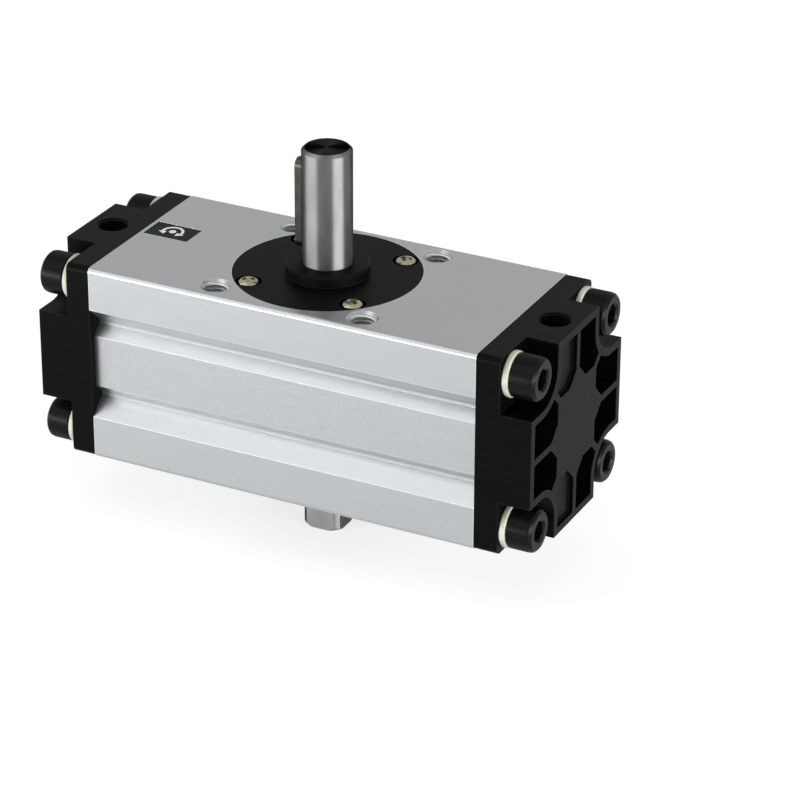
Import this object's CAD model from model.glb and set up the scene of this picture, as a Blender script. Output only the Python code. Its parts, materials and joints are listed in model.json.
"""Looks of the rack-and-pinion rotary actuator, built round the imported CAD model.

All lengths are metres in the part's own frame: the origin is the middle of the mounting holes on the
top face, +Z points out along the keyed shaft, and +X runs to the right cover.
"""
import json
import math

import bmesh
import bpy
from mathutils import Matrix, Vector


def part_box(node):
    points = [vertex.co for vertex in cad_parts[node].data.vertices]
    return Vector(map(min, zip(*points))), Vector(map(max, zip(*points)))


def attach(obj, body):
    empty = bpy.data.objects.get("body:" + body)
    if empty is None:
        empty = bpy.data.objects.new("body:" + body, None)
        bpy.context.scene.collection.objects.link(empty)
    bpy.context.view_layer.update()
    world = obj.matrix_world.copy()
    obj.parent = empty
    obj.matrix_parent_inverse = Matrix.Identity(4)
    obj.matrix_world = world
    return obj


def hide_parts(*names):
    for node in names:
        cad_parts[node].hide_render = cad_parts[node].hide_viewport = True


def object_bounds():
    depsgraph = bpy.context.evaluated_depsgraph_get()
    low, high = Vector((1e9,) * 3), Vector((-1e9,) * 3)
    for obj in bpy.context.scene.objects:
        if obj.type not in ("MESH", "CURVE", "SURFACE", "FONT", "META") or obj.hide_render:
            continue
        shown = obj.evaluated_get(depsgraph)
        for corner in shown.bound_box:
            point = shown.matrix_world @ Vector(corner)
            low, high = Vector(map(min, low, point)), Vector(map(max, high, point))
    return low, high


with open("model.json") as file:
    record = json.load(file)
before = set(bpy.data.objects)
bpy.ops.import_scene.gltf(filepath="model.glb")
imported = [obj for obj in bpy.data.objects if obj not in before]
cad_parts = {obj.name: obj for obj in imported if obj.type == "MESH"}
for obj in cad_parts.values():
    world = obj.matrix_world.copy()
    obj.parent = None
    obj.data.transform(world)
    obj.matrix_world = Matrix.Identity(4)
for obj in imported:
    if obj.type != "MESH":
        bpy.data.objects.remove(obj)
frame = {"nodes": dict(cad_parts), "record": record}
cad_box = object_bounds()
nodes = frame["nodes"]

MM = 0.001
FULL_TURN = 2 * math.pi
SIDES = {"left": -1, "right": 1}  # which way each lies along X
ENDS = {"top": 1, "bottom": -1}  # which way each lies along Z
COVER_HEAD_R = 6.5 * MM
RETAINER_HEAD_R = 3.4 * MM

# ---- sizes worked out from the frame ----

body_low, body_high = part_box("body")
mid_z = (body_low.z + body_high.z) / 2
screws_low, screws_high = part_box("right_cover_screws")
cover_head_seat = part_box("right_seal_washers")[1].x
cover_screw_place = screws_high.y - COVER_HEAD_R
retainer_screw_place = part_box("top_retainer_screws")[1].x - RETAINER_HEAD_R
label_low, label_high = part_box("symbol_label")
mounts = {mount["name"]: mount for mount in frame["record"]["mounts"]}

# ---- materials ----


class Surface:
    """A Principled material, with the patterns that the finishes below are put together from."""

    def __init__(self, name, metallic, **fixed):
        self.material = bpy.data.materials.new(name)
        self.material.use_nodes = True
        self.tree = self.material.node_tree
        self.shader = self.tree.nodes["Principled BSDF"]
        self.set(self.shader, {"Metallic": metallic, **fixed})
        self.place = self.node("ShaderNodeTexCoord").outputs["Object"]
        self.normal = None

    def set(self, node, inputs):
        for key, value in inputs.items():
            if isinstance(value, bpy.types.NodeSocket):
                self.tree.links.new(value, node.inputs[key])
            else:
                node.inputs[key].default_value = value

    def node(self, kind, inputs=None, **settings):
        made = self.tree.nodes.new(kind)
        for key, value in settings.items():
            setattr(made, key, value)
        self.set(made, inputs or {})
        return made

    def math(self, operation, a, b=0.0):
        return self.node("ShaderNodeMath", {0: a, 1: b}, operation=operation).outputs[0]

    def grain(self, size, lay=(1, 1, 1), detail=2.0):
        """Noise with features of that size. A share below 1 in lay stretches them along that axis."""
        scaled = self.node("ShaderNodeMapping", {"Vector": self.place, "Scale": lay})
        inputs = {"Vector": scaled.outputs["Vector"], "Scale": 1 / size, "Detail": detail}
        return self.node("ShaderNodeTexNoise", inputs).outputs["Fac"]

    def turning(self, size):
        """Marks of a lathe tool round the Z axis: rings on a face and lines round a wall."""
        flat = self.node("ShaderNodeVectorMath", {0: self.place, 1: (1, 1, 0)}, operation="MULTIPLY")
        radius = self.node("ShaderNodeVectorMath", {0: flat.outputs[0]}, operation="LENGTH")
        height = self.node("ShaderNodeSeparateXYZ", {0: self.place}).outputs["Z"]
        along = self.math("ADD", radius.outputs["Value"], height)
        inputs = {"W": along, "Scale": 1 / size, "Detail": 3.0}
        return self.node("ShaderNodeTexNoise", inputs, noise_dimensions="1D").outputs["Fac"]

    def spread(self, value, low=0.0, high=1.0, start=0.3, end=0.7):
        """The value from start to end, spread over low to high. Most noise lies from 0.3 to 0.7."""
        inputs = {"Value": value, "From Min": start, "From Max": end, "To Min": low, "To Max": high}
        return self.node("ShaderNodeMapRange", inputs).outputs["Result"]

    def edges(self, width):
        """From 0 on open faces to 1 on outer and inner edges, over that width."""
        rounded = self.node("ShaderNodeBevel", {"Radius": width}, samples=4).outputs["Normal"]
        facing = self.node("ShaderNodeNewGeometry").outputs["Normal"]
        dot = self.node("ShaderNodeVectorMath", {0: rounded, 1: facing}, operation="DOT_PRODUCT")
        return self.spread(dot.outputs["Value"], low=1.0, high=0.0, start=0.86, end=0.995)

    def mix(self, first, second, share):
        """The first colour, with that share of the second one. Either is a socket or red, green, blue."""
        made = self.node("ShaderNodeMix", data_type="RGBA")
        for socket, value in ((made.inputs[6], first), (made.inputs[7], second)):
            if isinstance(value, bpy.types.NodeSocket):
                self.tree.links.new(value, socket)
            else:
                socket.default_value = (*value, 1)
        self.set(made, {0: share})
        return made.outputs[2]

    def bump(self, height, depth, strength):
        """Relief of that depth in metres, on top of any relief added before."""
        inputs = {"Height": height, "Distance": depth, "Strength": strength}
        if self.normal:
            inputs["Normal"] = self.normal
        self.normal = self.node("ShaderNodeBump", inputs).outputs["Normal"]

    def finish(self, colour, roughness):
        self.set(self.shader, {"Base Color": colour, "Roughness": roughness})
        if self.normal:
            self.set(self.shader, {"Normal": self.normal})
        return self.material


def clear_anodised_aluminium():
    """Satin extrusion: fine etched grain, faint die lines along X, brighter edges."""
    s = Surface("clear_anodised_aluminium", metallic=1.0)
    dark = (0.372, 0.386, 0.393)
    light = (0.453, 0.466, 0.472)
    clouded = (0.402, 0.421, 0.430)
    bare_edge = (0.86, 0.87, 0.88)
    speckle = s.grain(0.45 * MM, detail=3.0)
    lines = s.grain(0.5 * MM, lay=(0.03, 1, 1))
    clouds = s.grain(30 * MM)
    tone = s.mix(dark, light, s.spread(speckle))
    tone = s.mix(tone, clouded, s.spread(clouds, high=0.5))
    colour = s.mix(tone, bare_edge, s.math("MULTIPLY", s.edges(0.5 * MM), 0.7))
    s.bump(s.grain(0.18 * MM), depth=0.012 * MM, strength=0.6)
    s.bump(lines, depth=0.006 * MM, strength=0.5)
    rough = s.math("ADD", s.spread(lines, 0.30, 0.35), s.spread(speckle, high=0.04))
    return s.finish(colour, rough)


def black_cast_aluminium():
    """Painted die casting: uneven skin, fine pits, edges rubbed lighter."""
    s = Surface("black_cast_aluminium", metallic=0.0, **{"Specular IOR Level": 0.045})
    dark = (0.0004, 0.0004, 0.0005)
    light = (0.0016, 0.0016, 0.0018)
    worn_edge = (0.020, 0.020, 0.021)
    skin = s.grain(0.7 * MM, detail=4.0)
    waves = s.grain(5 * MM)
    tone = s.mix(dark, light, s.spread(skin))
    worn = s.math("MULTIPLY", s.edges(0.5 * MM), s.spread(s.grain(1.5 * MM), low=0.4))
    colour = s.mix(tone, worn_edge, s.math("MULTIPLY", worn, 0.6))
    s.bump(waves, depth=0.10 * MM, strength=0.5)
    s.bump(skin, depth=0.035 * MM, strength=0.8)
    return s.finish(colour, s.spread(skin, 0.36, 0.50))


def black_anodised_aluminium():
    """Turned and anodised retainer: fine tool rings under a near-black film."""
    s = Surface("black_anodised_aluminium", metallic=0.0, **{"Specular IOR Level": 0.035})
    dark = (0.0012, 0.0012, 0.0012)
    light = (0.0032, 0.0032, 0.0030)
    worn_edge = (0.04, 0.04, 0.041)
    rings = s.turning(0.16 * MM)
    cloud = s.grain(6 * MM)
    tone = s.mix(dark, light, s.spread(cloud))
    colour = s.mix(tone, worn_edge, s.math("MULTIPLY", s.edges(0.3 * MM), 0.5))
    s.bump(rings, depth=0.012 * MM, strength=0.6)
    rough = s.math("ADD", s.spread(rings, 0.36, 0.46), s.spread(cloud, high=0.06))
    return s.finish(colour, rough)


def black_oxide_steel():
    """Blackened screw steel, with the oxide thin on the edges."""
    s = Surface("black_oxide_steel", metallic=0.0, **{"Specular IOR Level": 0.07})
    dark = (0.0016, 0.0016, 0.0018)
    light = (0.0046, 0.0045, 0.0049)
    thin_edge = (0.03, 0.03, 0.031)
    mottle = s.grain(0.9 * MM, detail=3.0)
    tone = s.mix(dark, light, s.spread(mottle))
    colour = s.mix(tone, thin_edge, s.math("MULTIPLY", s.edges(0.2 * MM), 0.5))
    s.bump(mottle, depth=0.012 * MM, strength=0.5)
    return s.finish(colour, s.spread(mottle, 0.28, 0.42))


def ground_steel():
    """Shaft steel: grinding lines round the axis draw highlights out along it. Its end faces are dark."""
    brushed = {"Anisotropic": 0.9, "Anisotropic Rotation": 0.25, "Specular Tint": (0.15, 0.15, 0.15, 1)}
    s = Surface("ground_steel", metallic=1.0, **brushed)
    dark = (0.150, 0.155, 0.157)
    light = (0.200, 0.206, 0.207)
    end_face = (0.040, 0.041, 0.041)
    bare_edge = (0.30, 0.31, 0.31)
    lines = s.turning(0.06 * MM)
    stains = s.grain(4 * MM, lay=(1, 1, 0.35), detail=3.0)
    tone = s.mix(dark, light, s.spread(stains))
    normal = s.node("ShaderNodeNewGeometry").outputs["Normal"]
    upright = s.math("ABSOLUTE", s.node("ShaderNodeSeparateXYZ", {0: normal}).outputs["Z"])
    tone = s.mix(tone, end_face, s.spread(upright, start=0.90, end=0.99))
    colour = s.mix(tone, bare_edge, s.math("MULTIPLY", s.edges(0.3 * MM), 0.5))
    s.bump(lines, depth=0.0015 * MM, strength=0.5)
    around = s.node("ShaderNodeTangent", direction_type="RADIAL", axis="Z").outputs["Tangent"]
    s.set(s.shader, {"Tangent": around})
    rough = s.math("ADD", s.spread(lines, 0.35, 0.40), s.spread(stains, high=0.05))
    return s.finish(colour, rough)


def plain_metal(name, dark, light, rough, grain_size=0.3 * MM, lay=(1, 1, 1), edge_gain=1.35):
    """Machined or drawn metal: cutting lines along the lay, a little tone, brighter edges."""
    s = Surface(name, metallic=1.0)
    lines = s.grain(grain_size, lay=lay, detail=3.0)
    patches = s.grain(3 * MM)
    share = s.math("MULTIPLY", s.spread(lines, low=0.3), s.spread(patches, low=0.6))
    bare_edge = [min(1.0, edge_gain * c) for c in light]
    tone = s.mix(dark, light, share)
    colour = s.mix(tone, bare_edge, s.math("MULTIPLY", s.edges(0.2 * MM), 0.6))
    s.bump(lines, depth=0.006 * MM, strength=0.6)
    lined = s.spread(lines, rough, rough + 0.08)
    return s.finish(colour, s.math("ADD", lined, s.spread(patches, high=0.05)))


def yellow_zinc_steel():
    """Passivated zinc: pale gold with a faint green and pink play of colour."""
    s = Surface("yellow_zinc_steel", metallic=1.0)
    gold = (0.40, 0.36, 0.24)
    green = (0.35, 0.36, 0.27)
    pink = (0.41, 0.33, 0.27)
    bare_edge = (0.80, 0.76, 0.62)
    play = s.grain(1.6 * MM, detail=1.0)
    blush = s.grain(1.1 * MM)
    fine = s.grain(0.25 * MM)
    tone = s.mix(gold, green, s.spread(play))
    tone = s.mix(tone, pink, s.spread(blush, high=0.5, start=0.5))
    colour = s.mix(tone, bare_edge, s.math("MULTIPLY", s.edges(0.12 * MM), 0.5))
    s.bump(fine, depth=0.006 * MM, strength=0.5)
    return s.finish(colour, s.spread(fine, 0.24, 0.36))


def matte_plastic(name, dark, light, rough, grain_size=0.25 * MM, gloss=0.25):
    """Moulded plastic or rubber: fine matte grain, soft mottling, slightly paler edges."""
    s = Surface(name, metallic=0.0, **{"Specular IOR Level": gloss})
    fine = s.grain(grain_size, detail=3.0)
    mottle = s.grain(2.5 * MM)
    pale_edge = [min(1.0, 1.15 * c + 0.01) for c in light]
    tone = s.mix(dark, light, s.spread(mottle))
    colour = s.mix(tone, pale_edge, s.math("MULTIPLY", s.edges(0.25 * MM), 0.5))
    s.bump(fine, depth=0.010 * MM, strength=0.6)
    return s.finish(colour, s.spread(fine, rough - 0.06, rough + 0.06))


# The lay of drawn or milled lines, longest along one axis
ALONG_X = (0.05, 1, 1)
ALONG_Z = (1, 1, 0.05)
ROUND_X = (1, 0.1, 0.1)

ANODISED = clear_anodised_aluminium()
CASTING = black_cast_aluminium()
RETAINER = black_anodised_aluminium()
OXIDE = black_oxide_steel()
SHAFT = ground_steel()
ZINC = yellow_zinc_steel()
KEY = plain_metal("key_steel", (0.030, 0.031, 0.027), (0.075, 0.076, 0.066), 0.30, lay=ALONG_Z, edge_gain=4)
CUT = plain_metal("fresh_cut_aluminium", (0.62, 0.63, 0.64), (0.82, 0.82, 0.83), 0.32, 0.1 * MM)
BEARING = plain_metal("bearing_steel", (0.55, 0.56, 0.58), (0.72, 0.73, 0.75), 0.12)
BRASS = plain_metal("cage_brass", (0.52, 0.38, 0.14), (0.72, 0.55, 0.24), 0.28)
RACK = plain_metal("rack_steel", (0.28, 0.29, 0.31), (0.42, 0.43, 0.45), 0.30, lay=ALONG_X)
PISTON = plain_metal("piston_aluminium", (0.60, 0.61, 0.62), (0.78, 0.78, 0.79), 0.30, lay=ROUND_X)
NYLON = matte_plastic("washer_nylon", (0.34, 0.335, 0.28), (0.42, 0.415, 0.345), 0.42)
RESIN = matte_plastic("slider_resin", (0.66, 0.63, 0.52), (0.76, 0.73, 0.62), 0.45)
RUBBER = matte_plastic("seal_rubber", (0.010, 0.010, 0.010), (0.020, 0.020, 0.020), 0.55)
FILM = matte_plastic("label_film", (0.003, 0.003, 0.003), (0.006, 0.006, 0.006), 0.40, 0.12 * MM, 0.06)
INK = matte_plastic("label_ink", (0.62, 0.63, 0.62), (0.74, 0.75, 0.74), 0.50, 0.12 * MM)

# ---- carried-over CAD nodes ----


def add_even_shading(part):
    """Shades flat faces flat, right up to their rounded edges."""
    shade = part.modifiers.new("shade", "WEIGHTED_NORMAL")
    shade.keep_sharp = True
    shade.weight = 80


def add_soft_edges(part, width):
    """Joins the mesh's split vertices, clears its flat faces of extra edges and rounds its sharp edges."""
    weld = part.modifiers.new("join", "WELD")
    weld.merge_threshold = 0.0005 * MM
    clear = part.modifiers.new("clear", "DECIMATE")
    clear.decimate_type = "DISSOLVE"
    clear.angle_limit = math.radians(0.4)
    bevel = part.modifiers.new("soft_edges", "BEVEL")
    bevel.width = width
    bevel.segments = 2
    bevel.limit_method = "ANGLE"
    bevel.angle_limit = math.radians(28)


def paint(part, material):
    part.data.materials.clear()
    part.data.materials.append(material)


def dress(names, material, edge_width=0.0):
    """Puts the material on CAD nodes, and soft edges where they have a width."""
    for name in names:
        paint(nodes[name], material)
        if edge_width:
            add_soft_edges(nodes[name], edge_width)
            add_even_shading(nodes[name])


dress(["body"], ANODISED)
dress([f"{side}_cover" for side in SIDES], CASTING)
dress([f"{side}_cover_screws" for side in SIDES], OXIDE)
dress([f"{side}_piston_screw" for side in SIDES], OXIDE, 0.15 * MM)
dress([f"{side}_seal_washers" for side in SIDES], NYLON, 0.2 * MM)
dress([f"{end}_retainer" for end in ENDS], RETAINER, 0.2 * MM)
dress([f"{end}_retainer_screws" for end in ENDS], ZINC)
dress([f"{end}_{ring}_ring" for end in ENDS for ring in ("outer", "inner")], BEARING)
dress([f"{end}_bearing_balls" for end in ENDS], BEARING)
dress([f"{end}_bearing_cage" for end in ENDS], BRASS)
dress([f"{side}_rack_pin" for side in SIDES], BEARING)
dress([f"{side}_piston" for side in SIDES], PISTON, 0.15 * MM)
dress([f"{side}_wear_ring" for side in SIDES] + ["rack_slider"], RESIN, 0.15 * MM)
dress([f"{side}_{part}" for side in SIDES for part in ("piston_seal", "cover_gasket")], RUBBER)
dress([f"{end}_{part}" for end in ENDS for part in ("retainer_gasket", "shaft_seal")], RUBBER)
dress(["pinion_shaft"], SHAFT, 0.12 * MM)
dress(["shaft_key"], KEY, 0.2 * MM)
dress(["rack"], RACK, 0.12 * MM)
dress(["symbol_label"], FILM, 0.04 * MM)

# ---- pieces with finer detail than the CAD nodes that they stand for ----

SHARP_ANGLE = math.radians(30)


def swept(bm, sections):
    """A closed solid through sections that have the same number of points."""
    loops = [[bm.verts.new(point) for point in section] for section in sections]
    for first, second in zip(loops, loops[1:]):
        for i in range(len(first)):
            j = (i + 1) % len(first)
            bm.faces.new((first[i], first[j], second[j], second[i]))
    bm.faces.new(loops[0])
    bm.faces.new(reversed(loops[-1]))


def turned(bm, rings, steps, place):
    """A lathe-turned solid. A ring is (how far along, radius), and its radius may depend on the angle.

    place gives the point at that distance along, radius and angle.
    """
    loops = []
    for along, radius in rings:
        if radius == 0:
            loops.append([bm.verts.new(place(along, 0, 0))] * steps)
            continue
        angles = [FULL_TURN * i / steps for i in range(steps)]
        sizes = [radius(angle) if callable(radius) else radius for angle in angles]
        points = [place(along, size, angle) for size, angle in zip(sizes, angles)]
        loops.append([bm.verts.new(point) for point in points])
    for first, second in zip(loops, loops[1:]):
        for i in range(steps):
            j = (i + 1) % steps
            bm.faces.new(dict.fromkeys((first[i], first[j], second[j], second[i])))


def mesh_of(bm, name, material):
    """The finished mesh, with its faces turned outwards and one material."""
    bmesh.ops.recalc_face_normals(bm, faces=bm.faces)
    mesh = bpy.data.meshes.new(name)
    bm.to_mesh(mesh)
    bm.free()
    mesh.materials.append(material)
    return mesh


def add_object(name, data):
    made = bpy.data.objects.new(name, data)
    bpy.context.scene.collection.objects.link(made)
    return made


def carved(solid, cutters):
    """The object's mesh, with its modifiers applied and the cutters taken away one by one."""
    tools = [add_object(cutter.name, cutter) for cutter in cutters]
    for tool in tools:
        cut = solid.modifiers.new("cut", "BOOLEAN")
        cut.operation = "DIFFERENCE"
        cut.solver = "EXACT"
        cut.material_mode = "TRANSFER"
        cut.object = tool
    graph = bpy.context.evaluated_depsgraph_get()
    mesh = bpy.data.meshes.new_from_object(solid.evaluated_get(graph), depsgraph=graph)
    for helper in (solid, *tools):
        bpy.data.objects.remove(helper)
    return mesh


def add_piece(name, mesh, slot, *replaced):
    """A piece of the housing that stands for the replaced CAD nodes, if any."""
    mesh.shade_smooth()
    mesh.set_sharp_from_angle(angle=SHARP_ANGLE)
    piece = add_object(name, mesh)
    add_even_shading(piece)
    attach(piece, "housing")
    if replaced:
        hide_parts(*replaced)


def corners(place):
    """The corners of a square round the origin, whose sides lie that far from it."""
    return [(x * place, y * place) for x, y in ((-1, -1), (1, -1), (1, 1), (-1, 1))]


# Threads cut into the mounting holes and the ports

THREAD_STEPS = 40  # sections in one turn
GROOVE_MOUTH = 0.44  # half the groove's width at its mouth, in pitches
GROOVE_ROOT = 0.07  # half its width at its root, in pitches
MOUTH_CLEARANCE = 0.15 * MM  # how far inside the hole the cutting section starts
BODY_EDGE = 0.35 * MM
COVER_EDGE = 0.4 * MM
M8_R = 4 * MM
PIPE_R = 9.73 / 2 * MM
PORT_CHAMFER = 0.4 * MM


def thread_groove(bm, x, y, top, hole_r, major_r, pitch, depth):
    """A right-hand coil down the hole, in the shape of the groove that a tap leaves."""
    mouth_r = hole_r - MOUTH_CLEARANCE
    upper = [(mouth_r, GROOVE_MOUTH), (major_r, GROOVE_ROOT)]
    section = upper + [(r, -up) for r, up in reversed(upper)]
    sections = []
    for i in range(round(depth / pitch * THREAD_STEPS) + 1):
        turns = i / THREAD_STEPS
        across = Vector((math.cos(FULL_TURN * turns), -math.sin(FULL_TURN * turns), 0))
        middle = Vector((x, y, top - turns * pitch))
        sections.append([middle + r * across + Vector((0, 0, up * pitch)) for r, up in section])
    swept(bm, sections)


def threaded(node, edge_width, holes, size, cut_material):
    """The CAD node's mesh with soft edges and with threads in its upright holes."""
    bm = bmesh.new()
    for x, y in holes:
        thread_groove(bm, x, y, **size)
    mesh = nodes[node].data.copy()
    mesh.attributes.remove(mesh.attributes["custom_normal"])
    solid = add_object(node, mesh)
    add_soft_edges(solid, edge_width)
    return carved(solid, [mesh_of(bm, "groove", cut_material)])


hole = mounts["mounting_holes"]["dims"]
port = mounts["right_port"]["dims"]
port_x = mounts["right_port"]["pos_m"][0]
M8_THREAD = {
    "top": body_high.z,
    "hole_r": hole["hole_r_mm"] * MM,
    "major_r": M8_R,
    "pitch": 1.25 * MM,
    "depth": 11.5 * MM,
}
PIPE_THREAD = {
    "top": body_high.z - PORT_CHAMFER,
    "hole_r": port["r_mm"] * MM,
    "major_r": PIPE_R,
    "pitch": 0.907 * MM,
    "depth": 10 * MM,
}
mesh = threaded("body", BODY_EDGE, corners(hole["spacing_x_mm"] * MM / 2), M8_THREAD, CUT)
add_piece("threaded_body", mesh, "anodised_aluminium", "body")
for side, outward in SIDES.items():
    mesh = threaded(f"{side}_cover", COVER_EDGE, [(outward * port_x, 0)], PIPE_THREAD, CASTING)
    add_piece(f"{side}_threaded_cover", mesh, "black_cast_aluminium", f"{side}_cover")

# Cover screws with knurled heads and a hexagon socket

HEAD_STEPS = 96  # round the head, two for each ridge of the knurl
SCREW_TWIST = 0.35  # radians that each screw is turned on from the one before
TIP_CHAMFER = 0.7 * MM
UNDERCUT = 0.5 * MM
UNDERCUT_H = 0.35 * MM
KNURL_DEPTH = 0.16 * MM
KNURL_LOW = 0.6 * MM  # from the seat
KNURL_HIGH = 1.5 * MM  # from the head's top
KNURL_RUN_OUT = 0.3 * MM
RIM_H = 0.8 * MM
RIM_ROUND = 0.15 * MM
RIM_IN = 0.75 * MM
RIM_TOP_IN = 1.0 * MM
SOCKET_ACROSS = 6 * MM
SOCKET_DEPTH = 4 * MM
SOCKET_MOUTH_R = 3.8 * MM
SOCKET_CHAMFER = 0.5 * MM
SOCKET_CONE = 1.4 * MM
head_h = screws_high.x - cover_head_seat
screw_l = cover_head_seat - screws_low.x
plain_head_r = COVER_HEAD_R - KNURL_DEPTH


def hexagon(angle):
    """Radius of the socket in that direction."""
    from_flat = (angle + math.pi / 6) % (math.pi / 3) - math.pi / 6
    return SOCKET_ACROSS / 2 / math.cos(from_flat)


def knurl(angle):
    """Radius of the head's ridges and valleys, in turn."""
    return COVER_HEAD_R - KNURL_DEPTH * (round(angle / FULL_TURN * HEAD_STEPS) % 2)


cap_screw = [
    (-screw_l, 0),
    (-screw_l, M8_R - TIP_CHAMFER),
    (TIP_CHAMFER - screw_l, M8_R),
    (0, M8_R),
    (0, COVER_HEAD_R - UNDERCUT),
    (UNDERCUT_H, plain_head_r),
    (KNURL_LOW, knurl),
    (head_h - KNURL_HIGH, knurl),
    (head_h - KNURL_HIGH + KNURL_RUN_OUT, plain_head_r),
    (head_h - RIM_H, plain_head_r),
    (head_h - RIM_ROUND, COVER_HEAD_R - RIM_IN),
    (head_h, COVER_HEAD_R - RIM_TOP_IN),
    (head_h, SOCKET_MOUTH_R),
    (head_h - SOCKET_CHAMFER, hexagon),
    (head_h - SOCKET_DEPTH, hexagon),
    (head_h - SOCKET_DEPTH - SOCKET_CONE, 0),
]

for side, outward in SIDES.items():
    bm = bmesh.new()
    for number, (y, up) in enumerate(corners(cover_screw_place)):
        twist = SCREW_TWIST * number

        def lying(along, radius, angle):
            across = radius * math.cos(angle + twist)
            height = radius * math.sin(angle + twist)
            return Vector((outward * (cover_head_seat + along), y + across, mid_z + up + height))

        turned(bm, cap_screw, HEAD_STEPS, lying)
    mesh = mesh_of(bm, f"{side}_cap_screws", OXIDE)
    add_piece(f"{side}_cap_screws", mesh, "black_oxide_steel", f"{side}_cover_screws")

# Retainer screws with a domed head and a cross recess

DOME_STEPS = 48
DOME_RINGS = 8
DOME_R = 3.0 * MM
DOME_SIDE = 2.2 * MM
DOME_RISE = 1.3 * MM
RETAINER_SCREW_R = 2 * MM
RETAINER_SCREW_L = 6 * MM
RECESS_TURN = 0.5  # radians that the first cross is turned by
RECESS_TWIST = 0.6  # radians from one screw's cross to the next
RECESS_L = 2.0 * MM  # half a bar's length
RECESS_W = 0.7 * MM  # half a bar's width
RECESS_DEPTH = 2.0 * MM
RECESS_TAPER = 0.5  # share of the bar's length that is left at the bottom

dome_top = DOME_SIDE + DOME_RISE
quarter = [math.pi / 2 * i / DOME_RINGS for i in range(DOME_RINGS)]
dome_screw = [
    (-RETAINER_SCREW_L, 0),
    (-RETAINER_SCREW_L, RETAINER_SCREW_R),
    (0, RETAINER_SCREW_R),
    (0, DOME_R),
    *((DOME_SIDE + DOME_RISE * math.sin(a), DOME_R * math.cos(a)) for a in quarter),
    (dome_top, 0),
]


def recess_arm(bm, centre, outward, turn):
    """One bar of the cross, shorter at the bottom of the recess."""
    along = Vector((math.cos(turn), math.sin(turn), 0))
    across = Vector((-along.y, along.x, 0))
    sections = []
    for level, share in ((-RECESS_DEPTH, RECESS_TAPER), (RECESS_DEPTH, 2 - RECESS_TAPER)):
        middle = centre + Vector((0, 0, outward * (dome_top + level)))
        bar = [x * share * RECESS_L * along + y * RECESS_W * across for x, y in corners(1)]
        sections.append([middle + corner for corner in bar])
    swept(bm, sections)


for end, outward in ENDS.items():
    low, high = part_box(f"{end}_retainer_screws")
    tip = low.z if outward == 1 else high.z
    seat = tip + outward * RETAINER_SCREW_L
    bm = bmesh.new()
    arms = [bmesh.new(), bmesh.new()]
    for number, (x, y) in enumerate(corners(retainer_screw_place)):
        centre = Vector((x, y, seat))

        def standing(along, radius, angle):
            return centre + Vector((radius * math.cos(angle), radius * math.sin(angle), outward * along))

        turned(bm, dome_screw, DOME_STEPS, standing)
        for arm, turn in zip(arms, (0, math.pi / 2)):
            recess_arm(arm, centre, outward, RECESS_TURN + RECESS_TWIST * number + turn)
    solid = add_object("domes", mesh_of(bm, "domes", ZINC))
    mesh = carved(solid, [mesh_of(arm, "arm", ZINC) for arm in arms])
    add_piece(f"{end}_dome_screws", mesh, "yellow_zinc_steel", f"{end}_retainer_screws")

# Mark on the label: an arrow that turns both ways round a dot

MARK_R = 3.1 * MM
MARK_W = 0.85 * MM
MARK_STEPS = 40
MARK_END = math.radians(-12)
ARROW_L = 2.1 * MM
ARROW_W = 2.6 * MM
DOT_R = 1.1 * MM
INK_H = 0.03 * MM
ink_low = label_high.z
ink_high = ink_low + INK_H
label_middle = (label_low + label_high) / 2


def on_label(radius, angle, height):
    x = label_middle.x + radius * math.cos(angle)
    y = label_middle.y + radius * math.sin(angle)
    return Vector((x, y, height))


def flat_mark(bm, outline):
    """A flat patch of ink. outline gives (radius, angle) of its corners."""
    swept(bm, [[on_label(r, a, height) for r, a in outline] for height in (ink_low, ink_high)])


bm = bmesh.new()
arc = [MARK_END + (math.pi - 2 * MARK_END) * i / MARK_STEPS for i in range(MARK_STEPS + 1)]
inner_r = MARK_R - MARK_W / 2
outer_r = MARK_R + MARK_W / 2
line_section = ((inner_r, ink_low), (outer_r, ink_low), (outer_r, ink_high), (inner_r, ink_high))
swept(bm, [[on_label(r, angle, height) for r, height in line_section] for angle in arc])
for start, onward in ((MARK_END, -1), (math.pi - MARK_END, 1)):
    tip = start + onward * ARROW_L / MARK_R
    flat_mark(bm, [(MARK_R - ARROW_W / 2, start), (MARK_R + ARROW_W / 2, start), (MARK_R, tip)])
flat_mark(bm, [(DOT_R, FULL_TURN * i / MARK_STEPS) for i in range(MARK_STEPS)])
add_piece("label_mark", mesh_of(bm, "label_mark", INK), "label_black")

# ---- stage, light and camera ----

FLOOR_SIZE = 8.0
FLOOR_GLOW = 0.70
CAMERA_AZIMUTH = math.radians(26.73)
CAMERA_ELEVATION = math.radians(26.6)
CAMERA_ROLL = math.radians(0.24)
CAMERA_DISTANCE = 1.016
CAMERA_TARGET = Vector((0.0230, 0.0016, -0.0377))
CAMERA_LENS = 155.2  # millimetres, on a sensor 36 wide
CAMERA_SENSOR = 36.0
CAMERA_RANGE = 20.0
WORLD_STRENGTH = 0.79
stage_centre = (Vector(cad_box[0]) + Vector(cad_box[1])) / 2


def direction(azimuth, elevation):
    """Unit vector towards that azimuth from -Y, turning to +X, and that height above the floor."""
    flat = math.cos(elevation)
    return Vector((math.sin(azimuth) * flat, -math.cos(azimuth) * flat, math.sin(elevation)))


def facing(back, roll=0.0):
    """Rotation whose local Z points along back and whose local X is level, then rolled."""
    right = Vector((0, 0, 1)).cross(back).normalized()
    up = back.cross(right)
    level = Matrix((right, up, back)).transposed()
    return level.to_4x4() @ Matrix.Rotation(roll, 4, "Z")


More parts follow.
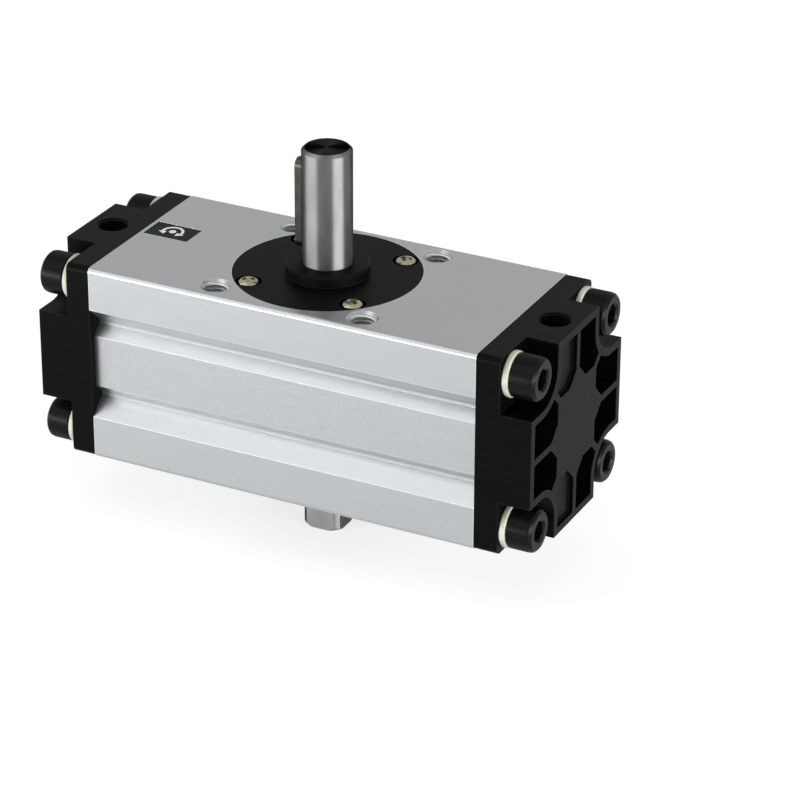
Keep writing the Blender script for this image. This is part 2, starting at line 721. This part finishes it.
def add_floor():
    """A pale floor under the part. Its own faint light keeps it near white with a soft shadow."""
    mesh = bpy.data.meshes.new("floor")
    mesh.from_pydata([(x, y, cad_box[0][2]) for x, y in corners(FLOOR_SIZE / 2)], [], [(0, 1, 2, 3)])
    floor = add_object("floor", mesh)
    glow = {"Emission Color": (1, 1, 1, 1), "Emission Strength": FLOOR_GLOW}
    s = Surface("pale_floor", metallic=0.0, **glow)
    tone = s.mix((0.29, 0.29, 0.29), (0.31, 0.31, 0.31), s.grain(40 * MM))
    paint(floor, s.finish(tone, 0.9))


def add_softbox(name, azimuth, elevation, distance, size, watts):
    """A rectangular light that faces the part from that direction."""
    light = bpy.data.lights.new(name, "AREA")
    light.shape = "RECTANGLE"
    light.size, light.size_y = size
    light.energy = watts
    lamp = add_object(name, light)
    away = direction(math.radians(azimuth), math.radians(elevation))
    lamp.matrix_world = Matrix.Translation(stage_centre + distance * away) @ facing(away)


def add_camera():
    """The camera, whose direction and distance are those of the reference view."""
    data = bpy.data.cameras.new("camera")
    data.lens = CAMERA_LENS
    data.sensor_width = CAMERA_SENSOR
    data.clip_end = CAMERA_RANGE
    camera = add_object("camera", data)
    back = direction(CAMERA_AZIMUTH, CAMERA_ELEVATION)
    place = CAMERA_TARGET + CAMERA_DISTANCE * back
    camera.matrix_world = Matrix.Translation(place) @ facing(back, CAMERA_ROLL)
    bpy.context.scene.camera = camera


def add_world():
    """Even white light from all round."""
    world = bpy.data.worlds.new("studio")
    world.use_nodes = True
    background = world.node_tree.nodes["Background"]
    background.inputs["Color"].default_value = (1, 1, 1, 1)
    background.inputs["Strength"].default_value = WORLD_STRENGTH
    bpy.context.scene.world = world


add_floor()
add_world()
add_softbox("key_softbox", azimuth=-42, elevation=52, distance=1.3, size=(0.8, 0.8), watts=2.7)
add_softbox("left_panel", azimuth=-46, elevation=4, distance=0.9, size=(1.0, 0.16), watts=9.5)
add_softbox("right_panel", azimuth=76, elevation=4, distance=0.9, size=(0.76, 0.16), watts=11)
add_camera()
bpy.context.scene.view_settings.view_transform = "Standard"
